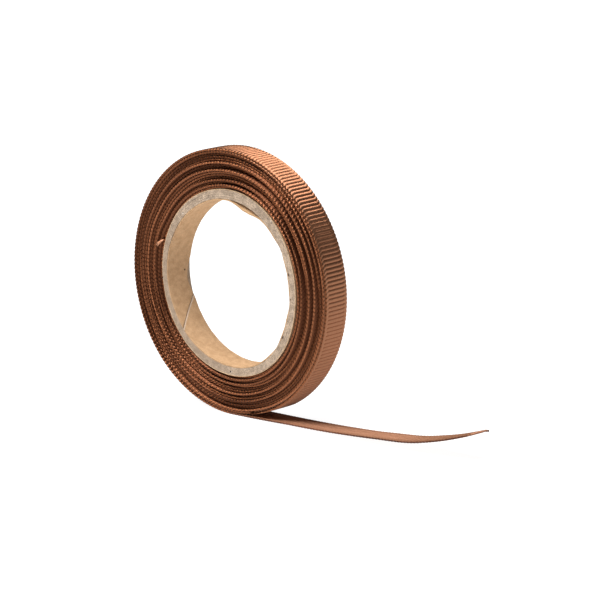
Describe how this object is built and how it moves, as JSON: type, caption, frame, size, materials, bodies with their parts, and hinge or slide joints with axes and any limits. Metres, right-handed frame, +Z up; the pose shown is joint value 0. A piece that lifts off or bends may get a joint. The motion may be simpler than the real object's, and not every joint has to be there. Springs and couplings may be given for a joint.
{
  "type": "ribbon roll",
  "caption": "Roll of narrow copper-brown ribbed ribbon on a paperboard core, standing on edge with its free end drawn off along the table.",
  "frame": {"origin": "centre of the core's bore, midway between the roll's two faces", "axes": "-Y out of the front face along the bore, +Z up as the roll stands on its edge, +X the way the free tail runs"},
  "size_m": [0.09, 0.006, 0.0538],
  "materials": {
    "kraft_liner": "matte",
    "grey_board": "matte",
    "kraft_outer": "matte",
    "tape": "gloss",
    "ribbon": "satin"
  },
  "bodies": {
    "roll": {"core_liner": "kraft_liner", "core_board_ply_1": "grey_board", "core_board_ply_2": "grey_board", "core_board_ply_3": "grey_board", "core_board_ply_4": "grey_board", "core_outer_ply": "kraft_outer", "start_tape": "tape", "ribbon_inner_end": "ribbon", "ribbon_turn_01": "ribbon", "ribbon_turn_02": "ribbon", "ribbon_turn_03": "ribbon", "ribbon_turn_04": "ribbon", "ribbon_turn_05": "ribbon", "ribbon_turn_06": "ribbon", "ribbon_turn_07": "ribbon", "ribbon_turn_08": "ribbon", "ribbon_turn_09": "ribbon", "ribbon_turn_10": "ribbon", "ribbon_turn_11": "ribbon", "ribbon_turn_12": "ribbon", "ribbon_turn_13": "ribbon", "ribbon_turn_14": "ribbon", "ribbon_turn_15": "ribbon"},
    "outer_turn": {"ribbon_outer_turn": "ribbon", "ribbon_tail_start": "ribbon"},
    "tail_end": {"ribbon_tail_end": "ribbon"}
  },
  "joints": [
    {"name": "unwind", "type": "hinge", "parent": "roll", "child": "outer_turn", "pos_m": [0, 0, 0], "axis": [0, -1, 0], "continuous": true},
    {"name": "tail_lift", "type": "hinge", "parent": "outer_turn", "child": "tail_end", "pos_m": [0.022, 0, -0.02669], "axis": [0, -1, 0], "range_deg": [0, 70]}
  ]
}
